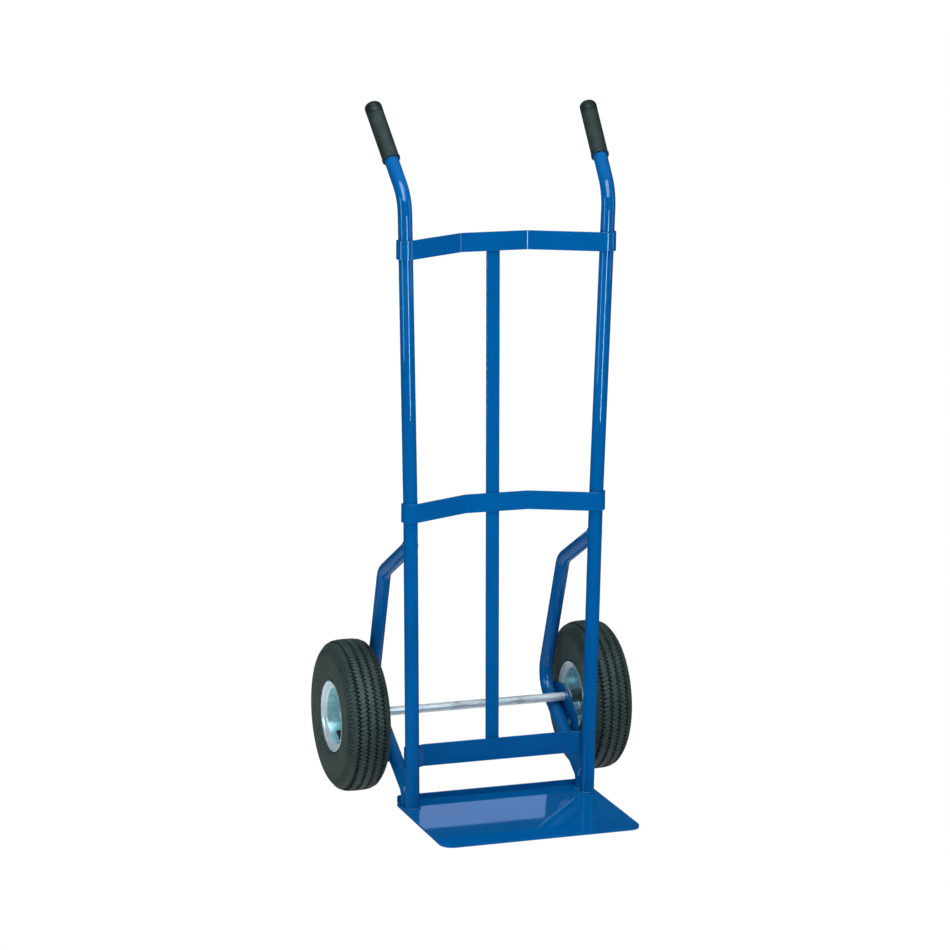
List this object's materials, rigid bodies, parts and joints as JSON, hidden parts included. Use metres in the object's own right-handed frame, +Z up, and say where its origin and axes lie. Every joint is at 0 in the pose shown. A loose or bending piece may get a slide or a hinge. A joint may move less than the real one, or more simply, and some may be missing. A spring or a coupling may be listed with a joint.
{
  "type": "hand truck",
  "caption": "Two-wheeled tubular steel hand truck with a flat toe plate, bent crossbars, bent rear braces, raked handles with grips and pneumatic tyres.",
  "frame": {"origin": "centre of the overall bounding box's underside: the surface that the tyres and the toe plate stand on, midway between the wheels", "axes": "+X to the right across the truck, along the axle; +Y to the rear, from the toe plate to the wheels and handles; +Z up"},
  "size_m": [0.515, 0.5, 1.1838],
  "materials": {
    "blue_paint": "glossy powder coat",
    "plated_steel": "bright zinc plating",
    "plated_rim": "bright zinc plated pressing",
    "tyre_rubber": "matt moulded rubber",
    "tube_rubber": "matt",
    "grip_vinyl": "fine ribbed, satin",
    "cap_plastic": "matt",
    "bush_plastic": "matt"
  },
  "bodies": {
    "frame": {"toe_plate": "blue_paint", "left_upright": "blue_paint", "right_upright": "blue_paint", "upper_crossbar": "blue_paint", "middle_crossbar": "blue_paint", "lower_crossbar": "blue_paint", "centre_bar": "blue_paint", "left_brace": "blue_paint", "right_brace": "blue_paint", "left_axle_bracket": "blue_paint", "right_axle_bracket": "blue_paint", "axle": "plated_steel", "left_grip": "grip_vinyl", "right_grip": "grip_vinyl", "left_inner_washer": "plated_steel", "right_inner_washer": "plated_steel", "left_outer_washer": "plated_steel", "right_outer_washer": "plated_steel", "left_split_pin": "plated_steel", "right_split_pin": "plated_steel"},
    "left_wheel": {"left_tyre": "tyre_rubber", "left_inner_tube": "tube_rubber", "left_rim_outer": "plated_rim", "left_rim_inner": "plated_rim", "left_rim_bolts": "plated_steel", "left_rim_nuts": "plated_steel", "left_hub": "plated_rim", "left_hub_bushes": "bush_plastic", "left_valve_stem": "tube_rubber", "left_valve_nut": "plated_steel", "left_valve_cap": "cap_plastic"},
    "right_wheel": {"right_tyre": "tyre_rubber", "right_inner_tube": "tube_rubber", "right_rim_outer": "plated_rim", "right_rim_inner": "plated_rim", "right_rim_bolts": "plated_steel", "right_rim_nuts": "plated_steel", "right_hub": "plated_rim", "right_hub_bushes": "bush_plastic", "right_valve_stem": "tube_rubber", "right_valve_nut": "plated_steel", "right_valve_cap": "cap_plastic"}
  },
  "joints": [
    {"name": "left_wheel_spin", "type": "hinge", "parent": "frame", "child": "left_wheel", "pos_m": [-0.2185, 0.12, 0.13], "axis": [1, 0, 0], "continuous": true},
    {"name": "right_wheel_spin", "type": "hinge", "parent": "frame", "child": "right_wheel", "pos_m": [0.2185, 0.12, 0.13], "axis": [1, 0, 0], "continuous": true}
  ]
}
